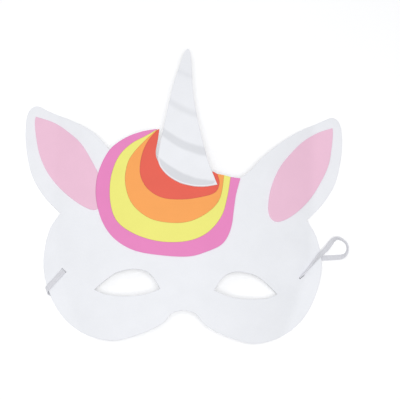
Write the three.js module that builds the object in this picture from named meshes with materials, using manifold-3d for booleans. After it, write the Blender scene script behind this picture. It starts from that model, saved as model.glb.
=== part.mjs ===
// A child's unicorn half mask, cut from thin foam sheet and lying face up with a gentle curl.
// Millimetres. The front faces +Z, the horn points to +Y, and the table is z = 0.
import * as THREE from "three";
import { mergeVertices } from "three/addons/utils/BufferGeometryUtils.js";
import Module from "manifold-3d";

const wasm = await Module();
wasm.setup();

// Foam thicknesses and the gaps between glued pieces
const FACE_THICK = 2;
const TRIM_THICK = 1;
const HORN_THICK = 2;
const GLUE_GAP = 0.2;
const SEAM_GAP = 0.3;
const WHITE_MARGIN = 0.8;
const BLUNT_TIP = 4;

// Curl of the sheet: an arch across X that meets the table at both sides
const CURL_PEAK = 15;
const REST_HALF_WIDTH = 80;
const REST_NARROWING = 22;
const CHEEK_LEVEL = -85;
const EASE = 0.06;
const SAG_FROM = 30;
const SAG_OVER = 65;
const SAG_SHARE = 0.35;

// Each side's rim is propped up a little where the elastic passes under it
const PROP_HEIGHT = 2.4;
const PROP_REACH = 20;
const PROP_LEFT_Y = -48.5;
const PROP_RIGHT_Y = -36;
const PROP_FROM_X = 55;
const PROP_FULL_X = 75;

// Grid that the sheets are bent on, and the height of the cutting prisms
const SLAB = { x: 0, y: 6, width: 210, height: 190, columns: 42, rows: 38 };
const PRISM_LOW = -10;
const PRISM_HIGH = 40;
const CURVE_STEPS = 4;

// Elastic: a flat band through one slot at each side
const BAND = { width: 3.2, thick: 0.7, clear: 0.35 };
const KNOT = { width: 4.8, thick: 3.2 };
const SLOT = { x: 72.4, y: -42.8, width: 4.4, thick: 2.2, turn: 40.5 };
const BAND_STEPS_PER_ROW = 2;

// Middle of the whole outline, which becomes the origin
const MIDDLE_Y = 6.59;

// Right half of the head outline as x, y: nose arch, cheek and side up to the notch under the ear
const CHEEK = [
  [0, -66],
  [7, -68],
  [13.5, -74.8],
  [27, -81],
  [43, -84.3],
  [60, -79.5],
  [73, -69],
  [81.5, -53.5],
  [84.9, -36],
  [82.3, -18],
  [76, -7.3],
];

// Ears as x, y, each from its notch round the tip to the top of the head
const EARS = {
  left: [
    [-76, -7.3],
    [-86.4, 2.9],
    [-94.3, 15.7],
    [-98.4, 30.8],
    [-99.8, 45],
    [-98.6, 56],
    [-93.6, 60.2],
    [-85.6, 57],
    [-72, 51.2],
    [-58, 43],
    [-46.3, 30.3],
    [-38.5, 20.8],
    [-33, 15.8],
    [-28, 14.5],
  ],
  right: [
    [76, -7.3],
    [86, 3.2],
    [93.8, 16],
    [97.7, 31],
    [98.9, 45],
    [97.5, 55.4],
    [93, 59.5],
    [85.7, 56.6],
    [72.6, 50],
    [59.6, 40.9],
    [47.1, 29.7],
    [38.9, 20.4],
    [33, 15.8],
    [28, 14.5],
  ],
};

// Right eye hole as x, y, each lid from corner to corner, before both holes move to the right
const EYE_SHIFT = 1.8;
const UPPER_LID = [
  [55.3, -54.2],
  [50, -49.5],
  [42.5, -44.2],
  [33, -42],
  [25.5, -43],
  [20.5, -46.8],
  [16.1, -53.7],
];
const LOWER_LID = [
  [16.1, -53.7],
  [23.5, -56.5],
  [32, -58],
  [41, -58],
  [49, -56.9],
  [55.3, -54.2],
];

// Pink leaves inside the ears as x, y, each from its tip down the outer edge and back
const LEAVES = {
  left: [
    [-93.9, 53.2],
    [-94.2, 48.5],
    [-92.8, 39],
    [-90, 28],
    [-84.6, 17.3],
    [-76.2, 7.3],
    [-66.6, -0.8],
    [-59, -5.2],
    [-54.4, -6],
    [-51.5, -3],
    [-50.6, 4],
    [-53, 14.5],
    [-58.5, 25.5],
    [-65, 35.6],
    [-73, 43.2],
    [-82, 49.5],
    [-93.9, 53.2],
  ],
  right: [
    [92.6, 52.5],
    [92.8, 48.5],
    [91.9, 39.2],
    [89.8, 28.1],
    [84.8, 17],
    [77.8, 5.8],
    [69, -3.3],
    [60.6, -8.9],
    [54.6, -9.8],
    [51, -5.2],
    [51.1, 4],
    [53.6, 14.3],
    [58.8, 25.3],
    [65.9, 34.5],
    [73.5, 42.4],
    [82.4, 48.6],
    [92.6, 52.5],
  ],
};

// Edges of the mane's bands as x, y, from the tip of the forelock round to the top right
const MANE_EDGES = [
  [
    [-18, 44.3],
    [-27.5, 42.6],
    [-37.6, 38.7],
    [-46.5, 32],
    [-52, 22],
    [-54.6, 11],
    [-54, -1],
    [-49.8, -14],
    [-42, -24.2],
    [-30, -31],
    [-14, -33.7],
    [2, -34],
    [12.8, -30.8],
    [22.5, -25.5],
    [27.4, -16.2],
    [29.2, -4],
    [30.4, 5],
    [33, 15.2],
  ],
  [
    [-18, 44.3],
    [-25.4, 39.8],
    [-34.7, 34.4],
    [-42, 26],
    [-46, 13],
    [-45.6, -2],
    [-41, -13.5],
    [-30, -21.2],
    [-15, -25.4],
    [1, -24.8],
    [13, -19.4],
    [21.5, -9],
    [25, 3],
    [26.9, 15.7],
  ],
  [
    [-18, 44.3],
    [-25.4, 37.3],
    [-32.6, 29],
    [-36.2, 21.6],
    [-37, 10],
    [-32.5, -2.5],
    [-22, -11.2],
    [-9, -13.9],
    [3, -12.5],
    [14, -6.2],
    [20.6, 2.5],
    [22.9, 16.6],
  ],
  [
    [-18, 44.3],
    [-24, 36.5],
    [-27.6, 27],
    [-28.2, 16],
    [-23.6, 7],
    [-14.5, 1.4],
    [-2, 0.6],
    [10, 2.7],
    [17.5, 5.7],
    [20, 11.3],
    [18.7, 17.2],
  ],
  [
    [-18, 44.3],
    [-18.7, 38],
    [-19.8, 30.5],
    [-19.2, 25.6],
    [-16.5, 21.6],
    [-10, 19.4],
    [4, 18.4],
    [16.1, 17.7],
  ],
];

// Horn as x, y, from its right base corner round the base, up the left edge, over the tip and down
const HORN = [
  [18.6, 10.2],
  [12.5, 8.9],
  [7, 8.5],
  [1.3, 9.1],
  [-5.3, 11],
  [-12.5, 15.7],
  [-17.2, 22.5],
  [-17.2, 31],
  [-15, 43],
  [-12.2, 58.5],
  [-9, 74],
  [-6, 84.4],
  [-3.2, 93.9],
  [-0.8, 97.4],
  [0.9, 95],
  [1.9, 85],
  [2.9, 68.5],
  [5.5, 53],
  [9, 38],
  [12.8, 24.5],
  [18.6, 10.2],
];

// Elastic from the left slot to the right one. Level is 1 on the face's front and 0 on the table,
// turn and lean give the direction of the band's width in degrees, and knot is 1 at a full knot.
const ROUTE = [
  { x: -72.4, y: -42.8, level: 0.06, turn: -40.5, lean: 0, knot: 0.4 },
  { x: -72.4, y: -42.8, level: 0.17, turn: -40.5, lean: 0, knot: 1 },
  { x: -72.4, y: -42.8, level: 0.36, turn: -40.5, lean: 0, knot: 0 },
  { x: -72.4, y: -42.9, level: 0.85, turn: -40.5, lean: 0, knot: 0 },
  { x: -73.4, y: -44, level: 1, turn: -40.5, lean: 13, knot: 0 },
  { x: -77, y: -48.2, level: 1, turn: -40.5, lean: 8, knot: 0 },
  { x: -80.8, y: -52.7, level: 1, turn: -41, lean: 0, knot: 0 },
  { x: -81.9, y: -54.1, level: 0.86, turn: -55, lean: 18, knot: 0 },
  { x: -82, y: -55, level: 0.5, turn: -70, lean: 29, knot: 0 },
  { x: -81.3, y: -55.8, level: 0.14, turn: -85, lean: 18, knot: 0 },
  { x: -79.6, y: -56.2, level: 0, turn: -98, lean: 0, knot: 0 },
  { x: -75, y: -56.8, level: 0, turn: -88, lean: 0, knot: 0 },
  { x: -65, y: -53, level: 0, turn: -58, lean: 0, knot: 0 },
  { x: -57, y: -41, level: 0, turn: -34, lean: 0, knot: 0 },
  { x: -45, y: -30, level: 0, turn: -55, lean: 0, knot: 0 },
  { x: -22, y: -23.5, level: 0, turn: -80, lean: 0, knot: 0 },
  { x: 6, y: -22, level: 0, turn: -90, lean: 0, knot: 0 },
  { x: 34, y: -24, level: 0, turn: -96, lean: 0, knot: 0 },
  { x: 62, y: -28.5, level: 0, turn: -98, lean: 0, knot: 0 },
  { x: 80, y: -30.3, level: 0, turn: -94, lean: 0, knot: 0 },
  { x: 89, y: -30.2, level: 0, turn: -90, lean: 0, knot: 0 },
  { x: 95, y: -29.7, level: 0.02, turn: -88, lean: 2, knot: 0 },
  { x: 98.4, y: -29.2, level: 0.14, turn: -72, lean: 24, knot: 0 },
  { x: 100.4, y: -27.8, level: 0.32, turn: -40, lean: 62, knot: 0 },
  { x: 101.6, y: -24.8, level: 0.4, turn: -6, lean: 82, knot: 0 },
  { x: 101, y: -21.4, level: 0.62, turn: 30, lean: 86, knot: 0 },
  { x: 98.7, y: -19.2, level: 0.85, turn: 55, lean: 84, knot: 0 },
  { x: 95.5, y: -18, level: 1.1, turn: 93, lean: 70, knot: 0 },
  { x: 92.8, y: -18.9, level: 1.25, turn: 128, lean: 38, knot: 0 },
  { x: 90.5, y: -21.5, level: 1.3, turn: 141, lean: 12, knot: 0 },
  { x: 87.9, y: -25, level: 1.2, turn: 141, lean: 8, knot: 0 },
  { x: 84.2, y: -28.6, level: 1.18, turn: 141, lean: 35, knot: 0 },
  { x: 80, y: -33.4, level: 1.25, turn: 141, lean: 64, knot: 0 },
  { x: 76.8, y: -37.4, level: 1.3, turn: 142, lean: 78, knot: 0 },
  { x: 74.2, y: -40.6, level: 1.33, turn: 200, lean: 85, knot: 0 },
  { x: 72.4, y: -42.6, level: 0.85, turn: 220.5, lean: 0, knot: 0 },
  { x: 72.4, y: -42.8, level: 0.36, turn: 220.5, lean: 0, knot: 0 },
  { x: 72.4, y: -42.8, level: 0.17, turn: 220.5, lean: 0, knot: 1 },
  { x: 72.4, y: -42.8, level: 0.06, turn: 220.5, lean: 0, knot: 0.4 },
];

// Colours of the foam and the elastic
const COLOURS = {
  white: 0xf1f2f5,
  pink: 0xeebcd6,
  magenta: 0xe268b4,
  yellow: 0xf0ec6e,
  orange: 0xf79a45,
  red: 0xe44a3c,
  elastic: 0xdcdce2,
};
const FOAM_ROUGHNESS = 0.7;
const BAND_COLOURS = ["magenta", "yellow", "orange", "red"];

// Height of the underside of the face sheet above the table
function rise(x, y) {
  const down = THREE.MathUtils.clamp(y / CHEEK_LEVEL, 0, 1);
  const rest = REST_HALF_WIDTH - REST_NARROWING * down * down;
  const arch = easeToFlat(1 - (x / rest) ** 2);
  const past = Math.max(0, (y - SAG_FROM) / SAG_OVER);
  const sag = 1 - SAG_SHARE * past * past;
  return CURL_PEAK * arch * sag + propUnder(x, y);
}

// A straight slope that runs out smoothly into exactly zero
function easeToFlat(value) {
  if (value > EASE) {
    return value;
  }
  return value < -EASE ? 0 : (value + EASE) ** 2 / (4 * EASE);
}

// Extra height of the rim over the elastic
function propUnder(x, y) {
  const middle = x < 0 ? PROP_LEFT_Y : PROP_RIGHT_Y;
  const along = Math.min(1, Math.abs(y - middle) / PROP_REACH);
  const across = THREE.MathUtils.smoothstep(Math.abs(x), PROP_FROM_X, PROP_FULL_X);
  return PROP_HEIGHT * Math.cos((along * Math.PI) / 2) ** 2 * across;
}

// Table rows as plane points, mirrored to the left where side is -1
function points(rows, side = 1) {
  return rows.map(([x, y]) => new THREE.Vector2(side * x, y));
}

// A closed three.js geometry as a solid
function solid(geometry) {
  const bare = geometry.clone();
  bare.deleteAttribute("normal");
  bare.deleteAttribute("uv");
  const merged = mergeVertices(bare);
  return new wasm.Manifold(
    new wasm.Mesh({
      numProp: 3,
      vertProperties: merged.getAttribute("position").array,
      triVerts: new Uint32Array(merged.index.array),
    }),
  );
}

// A solid as a mesh of the scene
function mesh(name, made, colour, roughness = FOAM_ROUGHNESS) {
  const { vertProperties, triVerts } = made.getMesh();
  const geometry = new THREE.BufferGeometry();
  geometry.setAttribute("position", new THREE.BufferAttribute(vertProperties, 3));
  geometry.setIndex(new THREE.BufferAttribute(triVerts, 1));
  geometry.computeVertexNormals();
  const material = new THREE.MeshStandardMaterial({ color: colour, roughness, metalness: 0 });
  const piece = new THREE.Mesh(geometry, material);
  piece.name = name;
  return piece;
}

// A foam sheet bent to the curl, its underside at a height above the face's underside
function bentSheet(lift, thick) {
  const { width, height, columns, rows } = SLAB;
  const box = new THREE.BoxGeometry(width, height, 1, columns, rows, 1);
  box.translate(SLAB.x, SLAB.y, 0);
  const at = box.getAttribute("position");
  for (let i = 0; i < at.count; i++) {
    const level = at.getZ(i) > 0 ? lift + thick : lift;
    at.setZ(i, rise(at.getX(i), at.getY(i)) + level);
  }
  return solid(box);
}

// An upright prism over a plane outline, which cuts a sheet to shape
function prism(shape) {
  const depth = PRISM_HIGH - PRISM_LOW;
  const geometry = new THREE.ExtrudeGeometry(shape, {
    depth,
    bevelEnabled: false,
    curveSegments: CURVE_STEPS,
  });
  return solid(geometry.translate(0, 0, PRISM_LOW));
}

// A closed outline made of smooth stretches that meet at corners
function outline(...stretches) {
  const shape = new THREE.Shape();
  shape.moveTo(stretches[0][0].x, stretches[0][0].y);
  for (const stretch of stretches) {
    shape.lineTo(stretch[0].x, stretch[0].y);
    shape.splineThru(stretch.slice(1));
  }
  return shape;
}

// One edge of the mane as a fine line, moved sideways: positive moves away from the middle
function maneEdge(index, offset) {
  const curve = new THREE.SplineCurve(points(MANE_EDGES[index]));
  const count = CURVE_STEPS * MANE_EDGES[index].length;
  const line = [];
  for (let i = 0; i <= count; i++) {
    const along = curve.getTangent(i / count);
    const outward = new THREE.Vector2(along.y, -along.x);
    line.push(curve.getPoint(i / count).addScaledVector(outward, offset));
  }
  return line;
}

// Plane outline between two edges of the mane, cut blunt near the tip where a length is given
function maneRegion(outer, outerOffset, inner, innerOffset, blunt = 0) {
  const tip = new THREE.Vector2(...MANE_EDGES[0][0]);
  const clearOfTip = (point) => point.distanceTo(tip) >= blunt;
  const outerLine = maneEdge(outer, outerOffset).filter(clearOfTip);
  const innerLine = maneEdge(inner, innerOffset).filter(clearOfTip);
  return new THREE.Shape([...outerLine, ...innerLine.reverse()]);
}

// Slot for the elastic at one side
function slotShape(side) {
  const middle = new THREE.Vector2(side * SLOT.x, SLOT.y);
  const turn = THREE.MathUtils.degToRad(side * SLOT.turn);
  const corners = [
    [-1, -1],
    [1, -1],
    [1, 1],
    [-1, 1],
  ];
  const placed = corners.map(([u, v]) =>
    new THREE.Vector2((u * SLOT.width) / 2, (v * SLOT.thick) / 2).rotateAround(new THREE.Vector2(), turn),
  );
  return new THREE.Shape(placed.map((corner) => corner.add(middle)));
}

// White face with both ears, the backing of the mane, the eye holes and the slots
function face() {
  const cheeks = points(CHEEK, -1).reverse().concat(points(CHEEK).slice(1));
  const head = outline(points(EARS.right), points(EARS.left).reverse(), cheeks);
  const last = MANE_EDGES.length - 1;
  let cut = prism(head).add(prism(maneRegion(0, 0, last, 0)));
  for (const side of [-1, 1]) {
    const eye = prism(outline(points(UPPER_LID, side), points(LOWER_LID, side)));
    cut = cut.subtract(eye.translate([EYE_SHIFT, 0, 0]));
    cut = cut.subtract(prism(slotShape(side)));
  }
  return bentSheet(0, FACE_THICK).intersect(cut);
}

// One coloured band of the mane, between two neighbouring edges
function maneBand(index) {
  const isLast = index === MANE_EDGES.length - 2;
  const outerOffset = index === 0 ? 0 : -SEAM_GAP / 2;
  const innerOffset = isLast ? -WHITE_MARGIN : SEAM_GAP / 2;
  const shape = maneRegion(index, outerOffset, index + 1, innerOffset, BLUNT_TIP);
  return bentSheet(FACE_THICK + GLUE_GAP, TRIM_THICK).intersect(prism(shape));
}

// Pink leaf inside an ear, trimmed where the mane runs over it
function earInner(side) {
  const leaf = prism(outline(points(LEAVES[side])));
  const mane = prism(maneRegion(0, SEAM_GAP, MANE_EDGES.length - 1, 0));
  return bentSheet(FACE_THICK + GLUE_GAP, TRIM_THICK).intersect(leaf.subtract(mane));
}

// Horn, glued by its base over the mane
function horn() {
  const lift = FACE_THICK + TRIM_THICK + 2 * GLUE_GAP;
  return bentSheet(lift, HORN_THICK).intersect(prism(outline(points(HORN))));
}

// Flat elastic: a long thin box bent along the route
function elastic() {
  const centres = ROUTE.map(({ x, y, level }) => {
    const table = BAND.clear + BAND.thick / 2;
    const front = rise(x, y) + FACE_THICK + BAND.clear + BAND.thick / 2;
    return new THREE.Vector3(x, y, THREE.MathUtils.lerp(table, front, level));
  });
  const path = new THREE.CatmullRomCurve3(centres);
  const lay = new THREE.CatmullRomCurve3(
    ROUTE.map(({ turn, lean, knot }) => new THREE.Vector3(turn, lean, knot)),
    false,
    "catmullrom",
    0,
  );
  const steps = BAND_STEPS_PER_ROW * (ROUTE.length - 1);
  const box = new THREE.BoxGeometry(1, 1, 1, 1, 1, steps);
  const at = box.getAttribute("position");
  for (let i = 0; i < at.count; i++) {
    const along = THREE.MathUtils.clamp(at.getZ(i) + 0.5, 0, 1);
    const { x: degTurn, y: degLean, z: knot } = lay.getPoint(along);
    const turn = THREE.MathUtils.degToRad(degTurn);
    const lean = THREE.MathUtils.degToRad(degLean);
    const wide = new THREE.Vector3(
      Math.cos(lean) * Math.cos(turn),
      Math.cos(lean) * Math.sin(turn),
      Math.sin(lean),
    );
    const tangent = path.getTangent(along);
    const flat = new THREE.Vector3().crossVectors(tangent, wide).normalize();
    wide.crossVectors(flat, tangent).normalize();
    const width = THREE.MathUtils.lerp(BAND.width, KNOT.width, knot);
    const thick = THREE.MathUtils.lerp(BAND.thick, KNOT.thick, knot);
    const centre = path.getPoint(along);
    centre.addScaledVector(wide, at.getX(i) * width);
    centre.addScaledVector(flat, at.getY(i) * thick);
    at.setXYZ(i, centre.x, centre.y, centre.z);
  }
  return solid(box);
}

const mask = new THREE.Group();
mask.position.y = -MIDDLE_Y;
mask.add(mesh("face", face(), COLOURS.white));
BAND_COLOURS.forEach((colour, index) => {
  mask.add(mesh("mane_" + colour, maneBand(index), COLOURS[colour]));
});
mask.add(mesh("ear_inner_left", earInner("left"), COLOURS.pink));
mask.add(mesh("ear_inner_right", earInner("right"), COLOURS.pink));
mask.add(mesh("horn", horn(), COLOURS.white));
mask.add(mesh("elastic", elastic(), COLOURS.elastic));

export default mask;
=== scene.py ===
# A child's unicorn half mask of foam sheet, lying face up on a pale table. Metres.
import math

import bpy
import numpy as np
from mathutils import Matrix, Vector
from mathutils.geometry import delaunay_2d_cdt


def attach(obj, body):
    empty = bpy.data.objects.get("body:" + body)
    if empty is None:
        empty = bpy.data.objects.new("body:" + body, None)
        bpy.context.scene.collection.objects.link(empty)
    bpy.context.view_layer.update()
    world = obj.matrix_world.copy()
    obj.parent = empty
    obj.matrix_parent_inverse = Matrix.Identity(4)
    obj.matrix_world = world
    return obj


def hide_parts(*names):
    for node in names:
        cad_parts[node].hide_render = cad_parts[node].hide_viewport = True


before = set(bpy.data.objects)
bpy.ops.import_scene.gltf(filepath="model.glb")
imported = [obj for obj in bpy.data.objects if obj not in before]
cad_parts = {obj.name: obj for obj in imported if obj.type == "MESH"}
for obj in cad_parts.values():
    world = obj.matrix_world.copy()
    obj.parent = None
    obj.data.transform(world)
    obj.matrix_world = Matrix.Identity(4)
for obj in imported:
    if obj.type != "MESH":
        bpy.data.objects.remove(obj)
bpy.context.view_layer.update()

# Middle of the outlines below, which is the origin of the part
MIDDLE = np.array([0.0, 0.00659, 0.0])

# Camera, as the photo was taken: nearly from above, from the lower left. Angles are in degrees,
# field is the width seen at the distance, and the offsets give the mask its place in the picture.
VIEW = {"tilt": 12.0, "plan": -108.0, "roll": 0.986, "distance": 0.640, "field": 0.248}
VIEW_OFF = {"right": 0.00955, "up": 0.00372}
SENSOR_WIDTH = 36.0

# Foam layers, each glued to the one below over a fine gap
GLUE_GAP = 0.00002
FACE_THICK = 0.002
TRIM_THICK = 0.001
HORN_THICK = 0.002
TRIM_LIFT = FACE_THICK + GLUE_GAP
TRIM_TOP = FACE_THICK + TRIM_THICK
HORN_LIFT = TRIM_TOP + GLUE_GAP
HORN_TOP = TRIM_TOP + HORN_THICK

# Mane: gap between its bands, white margin along the horn, and how much of each tip is cut off
SEAM = 0.00006
WHITE_MARGIN = 0.0008
BLUNT_TIP = 0.0005

# Rounding of the cut edges. It takes at most a share of a narrow tip's width, and at a corner that
# turns sharply it starts fine and grows with the distance from there. The underside is rounded by
# a share of it, and the flat top starts a few roundings in.
ROUNDING = {"face": 0.0003, "mane": 0.00018, "leaf": 0.00025, "horn": 0.0003}
NARROW_SHARE = 0.2
SHARP_TURN = 0.5
CORNER_ROUNDING = 0.00003
CORNER_GROWTH = 0.25
UNDER_SHARE = 0.5
FLAT_INSET = 2.0

# Curl of the sheet: an arch across X that meets the table at both sides
CURL_PEAK = 0.015
REST_HALF_WIDTH = 0.080
REST_NARROWING = 0.022
CHEEK_LEVEL = -0.085
EASE = 0.06
SAG_FROM = 0.030
SAG_OVER = 0.065
SAG_SHARE = 0.35

# Each side's rim is propped up a little where the elastic passes under it
PROP_HEIGHT = 0.0024
PROP_REACH = 0.020
PROP_LEFT_Y = -0.0485
PROP_RIGHT_Y = -0.036
PROP_FROM_X = 0.055
PROP_FULL_X = 0.075

# Elastic: clear is its gap to what it lies on, and the ribs' depth is a share of its thickness
BAND = {"width": 0.0032, "thick": 0.0007, "clear": 0.00025, "ribs": 8, "rib_depth": 0.07}
KNOT = {"width": 0.0048, "thick": 0.0032}
SLOT = {"x": 0.0724, "y": -0.0428, "width": 0.0036, "thick": 0.0010, "turn": 40.5}

# Fineness of the meshes: along outlines, over the sheets, and along and round the elastic
LINE_STEP = 0.0007
SAME_POINT = LINE_STEP / 10
OWN_EDGE = LINE_STEP / 100
EDGE_TURNS = np.radians([0, 30, 60, 90])
FILL_STEP = 0.0022
FILL_ROW = 0.866 * FILL_STEP
FILL_CLEAR = 0.6 * FILL_STEP
RING_STEP = 0.00045
ROUTE_STEPS = 40
SECTION_POINTS = 33
END_POINTS = 9

# Sheets are filled in millimetres. The limits are what counts there as one point, as no length
# and as no area, and the width of foam that faces no other edge.
TO_MM = 1000.0
FILL_TOLERANCE = 1e-5
NO_LENGTH = 1e-9
NO_AREA = 1e-12
WIDEST = 1.0

# Right half of the head outline as x, y: nose arch, cheek and side up to the notch under the ear
CHEEK = [
    (0.0, -0.066), (0.007, -0.068), (0.0135, -0.0748), (0.027, -0.081), (0.043, -0.0843),
    (0.06, -0.0795), (0.073, -0.069), (0.0815, -0.0535), (0.0849, -0.036), (0.0823, -0.018),
    (0.076, -0.0073),
]

# Ears as x, y, each from its notch round the tip to the top of the head
EARS = {
    "left": [
        (-0.076, -0.0073), (-0.0864, 0.0029), (-0.0943, 0.0157), (-0.0984, 0.0308),
        (-0.0998, 0.045), (-0.0986, 0.056), (-0.0936, 0.0602), (-0.0856, 0.057),
        (-0.072, 0.0512), (-0.058, 0.043), (-0.0463, 0.0303), (-0.0385, 0.0208),
        (-0.033, 0.0158), (-0.028, 0.0145),
    ],
    "right": [
        (0.076, -0.0073), (0.086, 0.0032), (0.0938, 0.016), (0.0977, 0.031), (0.0989, 0.045),
        (0.0975, 0.0554), (0.093, 0.0595), (0.0857, 0.0566), (0.0726, 0.05), (0.0596, 0.0409),
        (0.0471, 0.0297), (0.0389, 0.0204), (0.033, 0.0158), (0.028, 0.0145),
    ],
}

# Right eye hole as x, y, each lid from corner to corner, before both holes move to the right
EYE_SHIFT = 0.0018
UPPER_LID = [
    (0.0553, -0.0542), (0.05, -0.0495), (0.0425, -0.0442), (0.033, -0.042), (0.0255, -0.043),
    (0.0205, -0.0468), (0.0161, -0.0537),
]
LOWER_LID = [
    (0.0161, -0.0537), (0.0235, -0.0565), (0.032, -0.058), (0.041, -0.058), (0.049, -0.0569),
    (0.0553, -0.0542),
]

# Pink leaves inside the ears as x, y, each from its tip down the outer edge and back
LEAVES = {
    "left": [
        (-0.0939, 0.0532), (-0.0942, 0.0485), (-0.0928, 0.039), (-0.09, 0.028),
        (-0.0846, 0.0173), (-0.0762, 0.0073), (-0.0666, -0.0008), (-0.059, -0.0052),
        (-0.0544, -0.006), (-0.0515, -0.003), (-0.0506, 0.004), (-0.053, 0.0145),
        (-0.0585, 0.0255), (-0.065, 0.0356), (-0.073, 0.0432), (-0.082, 0.0495),
        (-0.0939, 0.0532),
    ],
    "right": [
        (0.0926, 0.0525), (0.0928, 0.0485), (0.0919, 0.0392), (0.0898, 0.0281),
        (0.0848, 0.017), (0.0778, 0.0058), (0.069, -0.0033), (0.0606, -0.0089),
        (0.0546, -0.0098), (0.051, -0.0052), (0.0511, 0.004), (0.0536, 0.0143),
        (0.0588, 0.0253), (0.0659, 0.0345), (0.0735, 0.0424), (0.0824, 0.0486),
        (0.0926, 0.0525),
    ],
}

# Edges of the mane's bands as x, y, from the tip of the forelock round to the top right
MANE_EDGES = [
    [
        (-0.018, 0.0443), (-0.0275, 0.0426), (-0.0376, 0.0387), (-0.0465, 0.032),
        (-0.052, 0.022), (-0.0546, 0.011), (-0.054, -0.001), (-0.0498, -0.014),
        (-0.042, -0.0242), (-0.03, -0.031), (-0.014, -0.0337), (0.002, -0.034),
        (0.0128, -0.0308), (0.0225, -0.0255), (0.0274, -0.0162), (0.0292, -0.004),
        (0.0304, 0.005), (0.033, 0.0152),
    ],
    [
        (-0.018, 0.0443), (-0.0254, 0.0398), (-0.0347, 0.0344), (-0.042, 0.026),
        (-0.046, 0.013), (-0.0456, -0.002), (-0.041, -0.0135), (-0.03, -0.0212),
        (-0.015, -0.0254), (0.001, -0.0248), (0.013, -0.0194), (0.0215, -0.009),
        (0.025, 0.003), (0.0269, 0.0157),
    ],
    [
        (-0.018, 0.0443), (-0.0254, 0.0373), (-0.0326, 0.029), (-0.0362, 0.0216), (-0.037, 0.01),
        (-0.0325, -0.0025), (-0.022, -0.0112), (-0.009, -0.0139), (0.003, -0.0125),
        (0.014, -0.0062), (0.0206, 0.0025), (0.0229, 0.0166),
    ],
    [
        (-0.018, 0.0443), (-0.024, 0.0365), (-0.0276, 0.027), (-0.0282, 0.016),
        (-0.0236, 0.007), (-0.0145, 0.0014), (-0.002, 0.0006), (0.01, 0.0027), (0.0175, 0.0057),
        (0.02, 0.0113), (0.0187, 0.0172),
    ],
    [
        (-0.018, 0.0443), (-0.0187, 0.038), (-0.0198, 0.0305), (-0.0192, 0.0256),
        (-0.0165, 0.0216), (-0.01, 0.0194), (0.004, 0.0184), (0.0161, 0.0177),
    ],
]

# Horn as x, y, from its right base corner round the base, up the left edge, over the tip and down
HORN = [
    (0.0186, 0.0102), (0.0125, 0.0089), (0.007, 0.0085), (0.0013, 0.0091), (-0.0053, 0.011),
    (-0.0125, 0.0157), (-0.0172, 0.0225), (-0.0172, 0.031), (-0.015, 0.043), (-0.0122, 0.0585),
    (-0.009, 0.074), (-0.006, 0.0844), (-0.0032, 0.0939), (-0.0008, 0.0974), (0.0009, 0.095),
    (0.0019, 0.085), (0.0029, 0.0685), (0.0055, 0.053), (0.009, 0.038), (0.0128, 0.0245),
    (0.0186, 0.0102),
]

# Elastic from the left slot to the right one, as x, y, level, turn, lean and knot. Level is 1 on
# the face's front and 0 on the table, turn and lean give the direction of the band's width in
# degrees, and knot is 1 at a full knot.
ROUTE = [
    (-0.0724, -0.0428, 0.06, -40.5, 0, 0.4),
    (-0.0724, -0.0428, 0.17, -40.5, 0, 1),
    (-0.0724, -0.0428, 0.36, -40.5, 0, 0),
    (-0.0724, -0.0429, 0.85, -40.5, 0, 0),
    (-0.0734, -0.044, 1, -40.5, 13, 0),
    (-0.077, -0.0482, 1, -40.5, 8, 0),
    (-0.0808, -0.0527, 1, -41, 0, 0),
    (-0.0819, -0.0541, 0.86, -55, 18, 0),
    (-0.082, -0.055, 0.5, -70, 29, 0),
    (-0.0813, -0.0558, 0.14, -85, 18, 0),
    (-0.0796, -0.0562, 0, -98, 0, 0),
    (-0.075, -0.0568, 0, -88, 0, 0),
    (-0.065, -0.053, 0, -58, 0, 0),
    (-0.057, -0.041, 0, -34, 0, 0),
    (-0.045, -0.03, 0, -55, 0, 0),
    (-0.022, -0.0235, 0, -80, 0, 0),
    (0.006, -0.022, 0, -90, 0, 0),
    (0.034, -0.024, 0, -96, 0, 0),
    (0.062, -0.0285, 0, -98, 0, 0),
    (0.08, -0.0303, 0, -94, 0, 0),
    (0.089, -0.0302, 0, -90, 0, 0),
    (0.095, -0.0297, 0.02, -88, 2, 0),
    (0.0984, -0.0292, 0.14, -72, 24, 0),
    (0.1004, -0.0278, 0.32, -40, 62, 0),
    (0.1016, -0.0248, 0.4, -6, 82, 0),
    (0.101, -0.0214, 0.62, 30, 86, 0),
    (0.0987, -0.0192, 0.85, 55, 84, 0),
    (0.0955, -0.018, 1.1, 93, 70, 0),
    (0.0928, -0.0189, 1.25, 128, 38, 0),
    (0.0905, -0.0215, 1.3, 141, 12, 0),
    (0.0879, -0.025, 1.2, 141, 8, 0),
    (0.0842, -0.0286, 1.18, 141, 35, 0),
    (0.08, -0.0334, 1.25, 141, 64, 0),
    (0.0768, -0.0374, 1.3, 142, 78, 0),
    (0.0742, -0.0406, 1.33, 200, 85, 0),
    (0.0724, -0.0426, 0.85, 220.5, 0, 0),
    (0.0724, -0.0428, 0.36, 220.5, 0, 0),
    (0.0724, -0.0428, 0.17, 220.5, 0, 1),
    (0.0724, -0.0428, 0.06, 220.5, 0, 0.4),
]

# Colours, linear, as they match the photo in the light of the scene
WHITE = (0.86, 0.87, 0.90)
PINK = (0.87, 0.545, 0.69)
GREY = (0.70, 0.71, 0.74)
ELASTIC = (0.77, 0.77, 0.81)
MANE_TONES = {
    "magenta": (0.82, 0.245, 0.535),
    "yellow": (0.87, 0.84, 0.20),
    "orange": (0.96, 0.385, 0.10),
    "red": (0.81, 0.126, 0.086),
}

# Foam: its textures to the metre, the tones that they take it to, and the depth of its pores
FOAM = {
    "clouds": 70.0, "cells": 2600.0, "grains": 5200.0, "grain_share": 0.6,
    "cloud_tone": (0.98, 1.01), "pore_tone": (0.985, 1.01), "rough": (0.62, 0.80),
    "depth": 0.00006, "relief": 0.28, "specular": 0.35,
}

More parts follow.
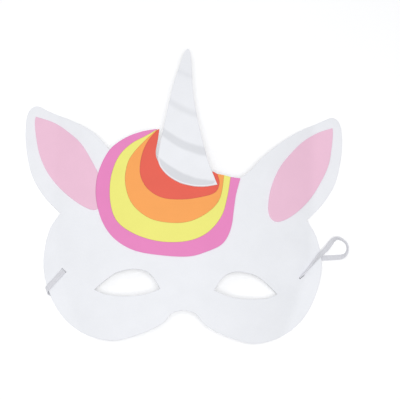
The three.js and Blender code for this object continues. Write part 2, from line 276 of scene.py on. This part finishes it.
# Where the values of the textures mostly lie
FULL_SPAN = (0.0, 1.0)
NOISE_SPAN = (0.3, 0.7)
CELL_SPAN = (0.15, 0.75)

# Cut edges are paler, by a share that fades out as the surface turns from upright to flat
CUT_EDGE = {"colour": (0.9, 0.9, 0.92), "share": 0.35, "fade": (0.25, 0.6)}

# Soft grey bands across the horn: where each starts and ends up the horn, its strength and
# softness. They slant, bend and waver a little, and the first leaves a white rim at the base.
HORN_BANDS = [
    (0.0050, 0.0152, 0.95, 0.0010),
    (0.0302, 0.0356, 0.80, 0.0012),
    (0.0532, 0.0574, 0.50, 0.0020),
    (0.0772, 0.0806, 0.28, 0.0020),
]
BAND_SLANT = 0.39
BAND_BEND = 14.0
BAND_WAVER = {"waves": 120.0, "reach": 0.0012}
HORN_RIM = 0.0007
RIM_SOFTNESS = HORN_RIM / 4

# Weave of the elastic in millimetres, the shades of its threads, and its fuzz
WEAVE = {
    "thread_length": 0.9, "thread_width": 0.44, "gap": 0.06, "gap_softness": 0.8,
    "second_shade": 0.93, "gap_shade": 0.74, "fuzz": 6.0, "fuzz_share": 0.5,
    "rough": (0.7, 0.95), "depth": 0.00008, "relief": 0.5, "sheen": 0.25,
}

# Table, just under the mask, with a faint glow that keeps it as white as in the photo
TABLE = {
    "half": 4.0, "level": -0.0001,
    "clouds": 9.0, "tone": (0.86, 0.90), "rough": 0.7, "glow": 0.16,
}

# Studio light: place, power in watts and size of each lamp, and the even light all round
LAMPS = {
    "key": ((-0.04, -0.22, 1.20), 7.0, 0.5),
    "fill": ((-0.50, 0.20, 1.00), 0.8, 0.6),
}
ALL_ROUND = {"colour": (0.97, 0.98, 1.0), "strength": 0.51}


# Curves and heights

def cubic(start, end, out, back, t):
    """Points at shares t of the way from start to end, leaving along out, arriving along back"""
    bend = 3 * (end - start) - 2 * out - back
    return start + out * t + bend * t ** 2 + (2 * (start - end) + out + back) * t ** 3


def unit(rows):
    """Each row as a step of length 1"""
    return rows / np.maximum(NO_LENGTH, np.linalg.norm(rows, axis=1))[:, None]


def cross(a, b):
    """Cross product of plane steps"""
    return a[..., 0] * b[..., 1] - a[..., 1] * b[..., 0]


def smooth(value, low, high):
    """A smooth step from 0 at low to 1 at high"""
    share = np.clip((value - low) / (high - low), 0.0, 1.0)
    return share * share * (3 - 2 * share)


def ease_to_flat(value):
    """The value above zero and zero below, with a soft bend between them"""
    bend = (value + EASE) ** 2 / (4 * EASE)
    return np.where(value > EASE, value, np.where(value < -EASE, 0.0, bend))


def rise(x, y):
    """Height of the underside of the face sheet above the table"""
    down = np.clip(y / CHEEK_LEVEL, 0.0, 1.0)
    rest = REST_HALF_WIDTH - REST_NARROWING * down * down
    arch = ease_to_flat(1 - (x / rest) ** 2)
    past = np.maximum(0.0, (y - SAG_FROM) / SAG_OVER)
    middle = np.where(x < 0, PROP_LEFT_Y, PROP_RIGHT_Y)
    along = np.minimum(1.0, np.abs(y - middle) / PROP_REACH)
    prop = np.cos(along * math.pi / 2) ** 2 * smooth(np.abs(x), PROP_FROM_X, PROP_FULL_X)
    return CURL_PEAK * arch * (1 - SAG_SHARE * past * past) + PROP_HEIGHT * prop


# Materials

def node(tree, kind, settings=None, **inputs):
    """A shader node with its settings, and its inputs as values or as links from other sockets.

    An input goes by its label, with _ for a space, or by its number after an i.
    """
    made = tree.nodes.new("ShaderNode" + kind)
    for key, value in (settings or {}).items():
        setattr(made, key, value)
    for key, value in inputs.items():
        numbered = key[0] == "i" and key[1:].isdigit()
        socket = made.inputs[int(key[1:]) if numbered else key.replace("_", " ")]
        if isinstance(value, bpy.types.NodeSocket):
            tree.links.new(value, socket)
        else:
            socket.default_value = value
    return made


def math_node(tree, operation, *values):
    inputs = {f"i{i}": value for i, value in enumerate(values)}
    return node(tree, "Math", {"operation": operation}, **inputs).outputs[0]


def ramp(tree, value, span, onto):
    """The value with its span stretched onto another, and held at both ends"""
    made = node(tree, "MapRange", None, Value=value, i1=span[0], i2=span[1], i3=onto[0], i4=onto[1])
    return made.outputs[0]


def step(tree, value, edge, soft):
    """A smooth step from 0 to 1 over the softness at both sides of the edge"""
    settings = {"interpolation_type": "SMOOTHSTEP"}
    return node(tree, "MapRange", settings, Value=value, i1=edge - soft, i2=edge + soft).outputs[0]


def stripe(tree, value, low, high, strength, soft):
    """The strength from low to high, and 0 outside, with soft edges"""
    band = math_node(tree, "SUBTRACT", step(tree, value, low, soft), step(tree, value, high, soft))
    return math_node(tree, "MULTIPLY", band, strength)


def mix(tree, share, first, second):
    """A colour between two, each a value or a link"""
    return node(tree, "Mix", {"data_type": "RGBA"}, i0=share, i6=first, i7=second).outputs[2]


def material(name):
    made = bpy.data.materials.new(name)
    made.use_nodes = True
    made.node_tree.nodes.clear()
    return made, made.node_tree


def principled(tree, **inputs):
    """The shader of the whole surface, joined to the material's output"""
    shader = node(tree, "BsdfPrincipled", None, **inputs)
    node(tree, "OutputMaterial", None, Surface=shader.outputs[0])


def noise(tree, place, scale, detail, rough=0.5):
    made = node(tree, "TexNoise", None, Vector=place, Scale=scale, Detail=detail, Roughness=rough)
    return made.outputs["Fac"]


def bump(tree, height, strength, depth):
    """Normals of a surface with fine relief"""
    made = node(tree, "Bump", None, Height=height, Strength=strength, Distance=depth)
    return made.outputs[0]


def foam_surface(tree, colour, place):
    """Closed-cell foam: fine pores, faint cloudiness, and a paler open-celled cut edge"""
    cloud = noise(tree, place, FOAM["clouds"], detail=3.0, rough=0.55)
    grain = noise(tree, place, FOAM["grains"], detail=2.0, rough=0.6)
    smooth_cells = {"feature": "SMOOTH_F1"}
    cells = node(
        tree, "TexVoronoi", smooth_cells, Vector=place, Scale=FOAM["cells"], Smoothness=0.6,
    ).outputs["Distance"]
    shade = ramp(tree, cloud, NOISE_SPAN, FOAM["cloud_tone"])
    pores = ramp(tree, cells, CELL_SPAN, FOAM["pore_tone"])
    tone = math_node(tree, "MULTIPLY", shade, pores)
    tint = node(tree, "HueSaturation", None, Value=tone, Color=colour).outputs[0]
    facing = node(tree, "NewGeometry").outputs["Normal"]
    upward = node(tree, "SeparateXYZ", None, Vector=facing).outputs["Z"]
    flatness = math_node(tree, "ABSOLUTE", upward)
    cut = ramp(tree, flatness, CUT_EDGE["fade"], (CUT_EDGE["share"], 0.0))
    height = math_node(tree, "MULTIPLY_ADD", grain, FOAM["grain_share"], cells)
    principled(
        tree, Base_Color=mix(tree, cut, tint, (*CUT_EDGE["colour"], 1)),
        Normal=bump(tree, height, FOAM["relief"], FOAM["depth"]),
        Roughness=ramp(tree, grain, NOISE_SPAN, FOAM["rough"]), Specular_IOR_Level=FOAM["specular"],
    )


def foam(name, colour):
    made, tree = material(name)
    place = node(tree, "TexCoord").outputs["Object"]
    foam_surface(tree, (*colour, 1), place)
    return made


def horn_foam(name):
    """White foam with soft grey bands that slant across the horn, and a white rim at its base"""
    made, tree = material(name)
    place = node(tree, "TexCoord").outputs["Object"]
    parts = node(tree, "SeparateXYZ", None, Vector=place)
    x, y = parts.outputs["X"], math_node(tree, "ADD", parts.outputs["Y"], float(MIDDLE[1]))
    slanted = math_node(tree, "MULTIPLY_ADD", x, BAND_SLANT, y)
    bend = math_node(tree, "MULTIPLY", math_node(tree, "MULTIPLY", x, x), BAND_BEND)
    waves = noise(tree, place, BAND_WAVER["waves"], detail=2.0)
    both_ways = math_node(tree, "SUBTRACT", waves, 0.5)
    waver = math_node(tree, "MULTIPLY", both_ways, BAND_WAVER["reach"])
    level = math_node(tree, "ADD", math_node(tree, "SUBTRACT", slanted, bend), waver)
    rim = node(tree, "Attribute", {"attribute_name": "rim"}).outputs["Fac"]
    first, *others = (stripe(tree, level, *row) for row in HORN_BANDS)
    grey = math_node(tree, "MULTIPLY", first, step(tree, rim, HORN_RIM, RIM_SOFTNESS))
    for band in others:
        grey = math_node(tree, "ADD", grey, band)
    foam_surface(tree, mix(tree, grey, (*WHITE, 1), (*GREY, 1)), place)
    return made


def woven(name):
    """Flat elastic: lengthwise ribs crossed by fine threads"""
    made, tree = material(name)
    weave = node(tree, "TexCoord").outputs["UV"]
    shades = (1, WEAVE["second_shade"], WEAVE["gap_shade"])
    thread, second, gap = ((*(shade * c for c in ELASTIC), 1) for shade in shades)
    threads = node(
        tree, "TexBrick", None, Vector=weave, Color1=thread, Color2=second, Mortar=gap, Scale=1.0,
        Mortar_Size=WEAVE["gap"], Mortar_Smooth=WEAVE["gap_softness"],
        Brick_Width=WEAVE["thread_length"], Row_Height=WEAVE["thread_width"],
    )
    fuzz = noise(tree, weave, WEAVE["fuzz"], detail=4.0, rough=0.65)
    raised = math_node(tree, "MULTIPLY", fuzz, WEAVE["fuzz_share"])
    height = math_node(tree, "SUBTRACT", raised, threads.outputs["Fac"])
    principled(
        tree, Base_Color=threads.outputs["Color"],
        Normal=bump(tree, height, WEAVE["relief"], WEAVE["depth"]),
        Roughness=ramp(tree, fuzz, FULL_SPAN, WEAVE["rough"]), Sheen_Weight=WEAVE["sheen"],
    )
    return made


def table_top(name):
    made, tree = material(name)
    place = node(tree, "TexCoord").outputs["Object"]
    cloud = noise(tree, place, TABLE["clouds"], detail=4.0)
    tone = ramp(tree, cloud, FULL_SPAN, TABLE["tone"])
    colour = node(tree, "CombineColor", None, Red=tone, Green=tone, Blue=tone).outputs[0]
    principled(
        tree, Base_Color=colour, Roughness=TABLE["rough"],
        Emission_Color=(1, 1, 1, 1), Emission_Strength=TABLE["glow"],
    )
    return made


# Objects and camera

def linked(name, data):
    """A new object in the scene"""
    made = bpy.data.objects.new(name, data)
    bpy.context.collection.objects.link(made)
    return made


def mesh_object(name, points, faces, surface):
    """A smooth object in the part's frame, from points in the frame of the outlines"""
    mesh = bpy.data.meshes.new(name)
    corners = [tuple(int(i) for i in face) for face in faces]
    mesh.from_pydata((np.asarray(points) - MIDDLE).tolist(), [], corners)
    mesh.polygons.foreach_set("use_smooth", [True] * len(mesh.polygons))
    mesh.materials.append(surface)
    return linked(name, mesh)


def add_camera():
    tilt, plan, roll = (math.radians(VIEW[key]) for key in ("tilt", "plan", "roll"))
    aside = math.sin(tilt)
    back = Vector((aside * math.cos(plan), aside * math.sin(plan), math.cos(tilt)))
    up = (Vector((0, 1, 0)) - back * back.y).normalized()
    right = up.cross(back)
    across = right * math.cos(roll) + up * math.sin(roll)
    upward = up * math.cos(roll) - right * math.sin(roll)
    data = bpy.data.cameras.new("camera")
    data.sensor_width = SENSOR_WIDTH
    data.lens = SENSOR_WIDTH * VIEW["distance"] / VIEW["field"]
    made = linked("camera", data)
    aim = across * VIEW_OFF["right"] + upward * VIEW_OFF["up"] - Vector(MIDDLE)
    turn = Matrix((across, upward, back)).transposed().to_4x4()
    made.matrix_world = Matrix.Translation(back * VIEW["distance"] + aim) @ turn
    bpy.context.scene.camera = made


# Elastic

def route_centres():
    """Centres of the band at the rows of the route"""
    x, y, level = np.array(ROUTE)[:, :3].T
    half = BAND["clear"] + BAND["thick"] / 2
    front = rise(x, y) + FACE_THICK + half
    return np.column_stack([x, y, half + (front - half) * level])


def smooth_route():
    """Even points along the route, with the turn, lean and knot there"""
    rows = route_centres()
    lay = np.array(ROUTE)[:, 3:]
    ends = np.vstack([2 * rows[0] - rows[1], rows, 2 * rows[-1] - rows[-2]])
    t = np.linspace(0, 1, ROUTE_STEPS, endpoint=False)[:, None]
    line, laid = [], []
    for i in range(len(rows) - 1):
        a, b, c, d = ends[i:i + 4]
        before, here, after = np.sqrt(np.linalg.norm([b - a, c - b, d - c], axis=1))
        out = here * ((b - a) / before - (c - a) / (before + here) + (c - b) / here)
        back = here * ((c - b) / here - (d - b) / (here + after) + (d - c) / after)
        line.append(cubic(b, c, out, back, t))
        laid.append(lay[i] + (lay[i + 1] - lay[i]) * smooth(t, 0, 1))
    line, laid = np.vstack(line + [rows[-1:]]), np.vstack(laid + [lay[-1:]])
    gone = np.concatenate([[0], np.cumsum(np.linalg.norm(np.diff(line, axis=0), axis=1))])
    even = np.linspace(0, gone[-1], round(gone[-1] / RING_STEP) + 1)

    def evened(block):
        return np.column_stack([np.interp(even, gone, column) for column in block.T])

    return evened(line), evened(laid)


def band_section():
    """Section of the band across and through, as shares of its width and thickness"""
    end = BAND["thick"] / 2 / BAND["width"]
    across = np.linspace(-0.5 + end, 0.5 - end, SECTION_POINTS)
    groove = 0.5 + 0.5 * np.cos(across * 2 * math.pi * BAND["ribs"])
    top = np.column_stack([across, 0.5 - BAND["rib_depth"] * groove])
    turn = np.linspace(math.pi / 2, -math.pi / 2, END_POINTS)[1:-1]
    right = np.column_stack([0.5 - end + end * np.cos(turn), 0.5 * np.sin(turn)])
    return np.vstack([top, right, -top, -right])


def band_points(line, laid, section):
    """A ring of points at each point of the line, then the middles of both ends"""
    turn, lean, knot = np.radians(laid[:, 0]), np.radians(laid[:, 1]), laid[:, 2:]
    level = np.cos(lean)
    wide = np.column_stack([level * np.cos(turn), level * np.sin(turn), np.sin(lean)])
    tangent = unit(np.gradient(line, axis=0))
    flat = unit(np.cross(tangent, wide))
    wide = np.cross(flat, tangent)
    width = BAND["width"] + (KNOT["width"] - BAND["width"]) * knot
    thick = BAND["thick"] + (KNOT["thick"] - BAND["thick"]) * knot
    across = section[None, :, :1] * (wide * width)[:, None]
    through = section[None, :, 1:] * (flat * thick)[:, None]
    rings = line[:, None] + across + through
    return np.vstack([rings.reshape(-1, 3), line[:1], line[-1:]])


def band_faces(count, rings):
    """Faces between rings of so many points each, and a fan over each end"""
    ring = np.arange(count)
    after = np.roll(ring, -1)
    last, ends = (rings - 1) * count, rings * count
    faces = []
    for low in range(0, last, count):
        high = low + count
        faces += np.column_stack([low + ring, high + ring, high + after, low + after]).tolist()
    faces += [(ends, a, b) for a, b in zip(ring, after)]
    faces += [(ends + 1, last + b, last + a) for a, b in zip(ring, after)]
    return faces


def map_weave(piece, section, rings):
    """Texture places on the band, along and across it, in millimetres"""
    across = np.append(np.tile(section[:, 0] * BAND["width"], rings), [0, 0])
    along = np.repeat(np.arange(rings) * RING_STEP, len(section))
    along = np.append(along, [0, rings * RING_STEP])
    corner = np.empty(len(piece.data.loops), dtype=np.int64)
    piece.data.loops.foreach_get("vertex_index", corner)
    places = TO_MM * np.column_stack([along, across])[corner]
    piece.data.uv_layers.new(name="weave").data.foreach_set("uv", places.ravel())


def add_elastic():
    line, laid = smooth_route()
    section = band_section()
    points = band_points(line, laid, section)
    faces = band_faces(len(section), len(line))
    made = mesh_object("elastic_band", points, faces, woven("woven_elastic"))
    map_weave(made, section, len(line))
    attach(made, "root")
    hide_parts("elastic")


# Outlines

def spline(rows, side=1):
    """Smooth line through the rows, mirrored to the left where side is -1"""
    p = np.array(rows) * (side, 1)
    leave = (p[1:] - np.vstack([p[:1], p[:-2]])) / 2
    reach = (np.vstack([p[2:], p[-1:]]) - p[:-1]) / 2
    line = [p[:1]]
    for a, b, out, back in zip(p[:-1], p[1:], leave, reach):
        count = max(1, round(np.linalg.norm(b - a) / LINE_STEP))
        line.append(cubic(a, b, out, back, np.arange(1, count + 1)[:, None] / count))
    return np.vstack(line)


def closed(*stretches):
    """Closed outline of stretches that follow each other, with no point twice"""
    line = np.vstack(stretches)
    gap = np.linalg.norm(line - np.roll(line, 1, axis=0), axis=1)
    return line[gap > SAME_POINT]


def mane_edge(index, offset):
    """One edge of the mane, moved sideways: positive moves away from the middle"""
    line = spline(MANE_EDGES[index])
    along = unit(np.gradient(line, axis=0))
    return line + offset * np.column_stack([along[:, 1], -along[:, 0]])


def mane_region(outer=0, outer_offset=0, inner=-1, inner_offset=0, blunt=0):
    """Outline between two edges of the mane, each moved sideways, with a blunt tip"""
    tip = np.array(MANE_EDGES[0][0])
    lines = [mane_edge(outer, outer_offset), mane_edge(inner, inner_offset)[::-1]]
    return closed(*(line[np.linalg.norm(line - tip, axis=1) >= blunt] for line in lines))


def slot_line(side):
    """Outline of the slot at one side, turned as the band that goes through it"""
    turn = math.radians(side * SLOT["turn"])
    half = np.array([SLOT["width"], SLOT["thick"]]) / 2
    corners = np.array([(-1, -1), (1, -1), (1, 1), (-1, 1)]) * half
    axes = np.array([(math.cos(turn), math.sin(turn)), (-math.sin(turn), math.cos(turn))])
    return corners @ axes + (side * SLOT["x"], SLOT["y"])


# Cutting of outlines

def inside(points, line):
    """Which points a closed plane line holds"""
    x, y = points[:, :1], points[:, 1:]
    following = np.roll(line, -1, axis=0)
    spans = (line[:, 1] > y) != (following[:, 1] > y)
    run = following - line
    at = line[:, 0] + (y - line[:, 1]) * run[:, 0] / np.where(run[:, 1] == 0, 1, run[:, 1])
    return (spans & (x < at)).sum(axis=1) % 2 == 1


def in_foam(points, loops):
    """Which points are in the sheet that the loops bound"""
    return sum(inside(points, line).astype(int) for line in loops) % 2 == 1


def delaunay(points, edges):
    """Plane points and triangles facing up, in which the edges stay"""
    scaled = [Vector(p * TO_MM) for p in points]
    made = delaunay_2d_cdt(scaled, edges, [], 0, FILL_TOLERANCE)
    places = np.array([tuple(v) for v in made[0]]) / TO_MM
    corners = np.array(made[2])
    a, b, c = (places[corners[:, i]] for i in range(3))
    area = cross(b - a, c - a)
    corners[area < 0] = corners[area < 0][:, ::-1]
    return places, corners[np.abs(area) > NO_AREA]


def loop_edges(lines):
    """Pairs of following points on closed lines, numbered through"""
    edges, first = [], 0
    for line in lines:
        edges += [(first + i, first + (i + 1) % len(line)) for i in range(len(line))]
        first += len(line)
    return edges


def cut_out(lines, keep):
    """Boundary loops, foam on the left, of the places that keep picks by which lines hold them"""
    places, corners = delaunay(np.vstack(lines), loop_edges(lines))
    middles = places[corners].mean(axis=1)
    kept = corners[keep(*(inside(middles, line) for line in lines))]
    edges = {(int(t[i]), int(t[(i + 1) % 3])) for t in kept for i in range(3)}
    onward = {a: b for a, b in edges if (b, a) not in edges}
    loops = []
    while onward:
        start, here = min(onward.items())
        loop = [start]
        del onward[start]
        while here != start:
            loop.append(here)
            here = onward.pop(here)
        loops.append(closed(places[loop]))
    return loops


# Foam sheets

def headings(line):
    """Unit step from each point of a loop to the next"""
    return unit(np.roll(line, -1, axis=0) - line)


def inward(line):
    """Unit step into the foam at each point of a loop"""
    ahead = headings(line)
    both = ahead + np.roll(ahead, 1, axis=0)
    return unit(np.column_stack([-both[:, 1], both[:, 0]]))


def free_width(loops):
    """Width of the foam at each boundary point, looking into it"""
    starts = np.vstack(loops)
    runs = np.vstack([np.roll(line, -1, axis=0) - line for line in loops])
    widths = []
    for point, into in zip(starts, np.vstack([inward(line) for line in loops])):
        to = starts - point
        meets = cross(to, into) * cross(to + runs, into) < 0
        far = cross(to[meets], runs[meets]) / cross(into, runs[meets])
        widths.append(np.min(far[far > OWN_EDGE], initial=WIDEST))
    return np.array(widths)


def edge_radius(loops, edge):
    """Rounding of the edge at each boundary point, finer in narrow tips and at sharp corners"""
    radius = np.minimum(edge, NARROW_SHARE * free_width(loops))
    border = np.vstack(loops)
    for line in loops:
        ahead = headings(line)
        sharp = cross(np.roll(ahead, 1, axis=0), ahead) > SHARP_TURN
        for corner in line[sharp]:
            away = np.linalg.norm(border - corner, axis=1)
            radius = np.minimum(radius, CORNER_ROUNDING + CORNER_GROWTH * away)
    return radius[:, None]


def edge_profile(lift, top):
    """Rings over a cut edge from the top down: inset in roundings, level, drop in roundings"""
    over = [(1 - math.sin(t), top, -(1 - math.cos(t))) for t in EDGE_TURNS]
    under = [
        (UNDER_SHARE * (1 - math.sin(t)), lift, UNDER_SHARE * (1 - math.cos(t)))
        for t in EDGE_TURNS[::-1]
    ]
    return [(FLAT_INSET, top, 0.0)] + over + under


def fill_points(loops):
    """Plane points in even triangles over the foam, clear of its border, and their way to it"""
    border = np.vstack(loops)
    low, high = border.min(axis=0), border.max(axis=0)
    columns = np.arange(low[0], high[0], FILL_STEP)
    rows = np.arange(low[1], high[1], FILL_ROW)
    grid = np.array([(x + (i % 2) * FILL_STEP / 2, y) for i, y in enumerate(rows) for x in columns])
    grid = grid[in_foam(grid, loops)]
    away = np.array([np.min(np.linalg.norm(border - p, axis=1)) for p in grid])
    clear = away > FILL_CLEAR
    return grid[clear], away[clear]


def foam_sheet(name, loops, lift, top, surface, edge):
    """A cut piece of foam sheet bent to the curl, with softly rounded edges"""
    border = np.vstack(loops)
    steps = np.vstack([inward(line) for line in loops])
    radius = edge_radius(loops, edge)
    profile = edge_profile(lift, top)
    rings = []
    for inset, level, drop in profile:
        flat = border + steps * radius * inset
        rings.append(np.column_stack([flat, rise(*flat.T) + level + drop * radius[:, 0]]))
    grid, away = fill_points(loops)
    over = np.column_stack([grid, rise(*grid.T) + top])
    under = np.column_stack([grid, rise(*grid.T) + lift])

    upper, size = rings[0][:, :2], len(border)
    places, corners = delaunay(np.vstack([upper, grid]), loop_edges(loops))
    if len(places) != size + len(grid):
        raise ValueError(f"{name}: its edge crosses itself")
    inner = np.split(upper, np.cumsum([len(line) for line in loops])[:-1])
    corners = corners[in_foam(places[corners].mean(axis=1), inner)]

    last, body = (len(rings) - 1) * size, len(rings) * size
    above = np.where(corners < size, corners, corners - size + body)
    below = np.where(corners < size, corners + last, corners - size + body + len(grid))
    faces = above.tolist() + below[:, ::-1].tolist()
    for a, b in loop_edges(loops):
        faces += [(r + size + a, r + size + b, r + b, r + a) for r in range(0, last, size)]
    made = mesh_object(name, np.vstack(rings + [over, under]), faces, surface)
    rim = np.concatenate([radius[:, 0] * inset for inset, _, _ in profile] + [away, away])
    made.data.attributes.new("rim", "FLOAT", "POINT").data.foreach_set("value", rim)
    return made


def dressed(piece, node_name):
    """Hangs a foam piece on the root body and hides the CAD part that it stands for"""
    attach(piece, "root")
    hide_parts(node_name)


def add_face():
    white = foam("foam_white", WHITE)
    cheeks = np.vstack([spline(CHEEK, -1)[::-1], spline(CHEEK)])
    head = closed(spline(EARS["right"]), spline(EARS["left"])[::-1], cheeks)
    holes = []
    for side in (-1, 1):
        eye = closed(spline(UPPER_LID, side), spline(LOWER_LID, side)) + (EYE_SHIFT, 0)
        holes += [eye, slot_line(side)]
    loops = cut_out(
        [head, mane_region()] + holes,
        lambda in_head, in_mane, *in_holes: (in_head | in_mane) & ~np.any(in_holes, axis=0),
    )
    piece = foam_sheet("face_sheet", loops, 0.0, FACE_THICK, white, ROUNDING["face"])
    dressed(piece, "face")


def add_mane():
    last = len(MANE_TONES) - 1
    for index, (colour, tone) in enumerate(MANE_TONES.items()):
        outer = 0 if index == 0 else -SEAM / 2
        inner = -WHITE_MARGIN if index == last else SEAM / 2
        line = mane_region(index, outer, index + 1, inner, BLUNT_TIP)
        loops = cut_out([line], lambda held: held)
        surface = foam("foam_" + colour, tone)
        piece = foam_sheet(
            "forelock_" + colour, loops, TRIM_LIFT, TRIM_TOP, surface, ROUNDING["mane"],
        )
        dressed(piece, "mane_" + colour)


def add_ears():
    pink = foam("foam_pink", PINK)
    mane = mane_region(outer_offset=SEAM)
    for side, rows in LEAVES.items():
        loops = cut_out([closed(spline(rows)), mane], lambda held, covered: held & ~covered)
        piece = foam_sheet("ear_leaf_" + side, loops, TRIM_LIFT, TRIM_TOP, pink, ROUNDING["leaf"])
        dressed(piece, "ear_inner_" + side)


def add_horn():
    loops = cut_out([closed(spline(HORN))], lambda held: held)
    surface = horn_foam("foam_horn")
    piece = foam_sheet("horn_sheet", loops, HORN_LIFT, HORN_TOP, surface, ROUNDING["horn"])
    dressed(piece, "horn")


# Table and light

def add_table():
    half, level = TABLE["half"], TABLE["level"]
    corners = [(x * half, y * half, level) for x, y in ((-1, -1), (1, -1), (1, 1), (-1, 1))]
    mesh_object("table_top", corners, [(0, 1, 2, 3)], table_top("pale_table"))


def add_lamp(name, place, power, size):
    data = bpy.data.lights.new(name, "AREA")
    data.energy, data.size = power, size
    made = linked(name, data)
    made.location = place
    made.rotation_euler = (-Vector(place)).to_track_quat("-Z", "Y").to_euler()


def add_world():
    world = bpy.data.worlds.new("studio")
    world.use_nodes = True
    shade = world.node_tree.nodes["Background"]
    shade.inputs["Color"].default_value = (*ALL_ROUND["colour"], 1)
    shade.inputs["Strength"].default_value = ALL_ROUND["strength"]
    bpy.context.scene.world = world
    bpy.context.scene.view_settings.view_transform = "Standard"


add_camera()
add_elastic()
add_face()
add_mane()
add_ears()
add_horn()
add_table()
for lamp, settings in LAMPS.items():
    add_lamp(lamp, *settings)
add_world()
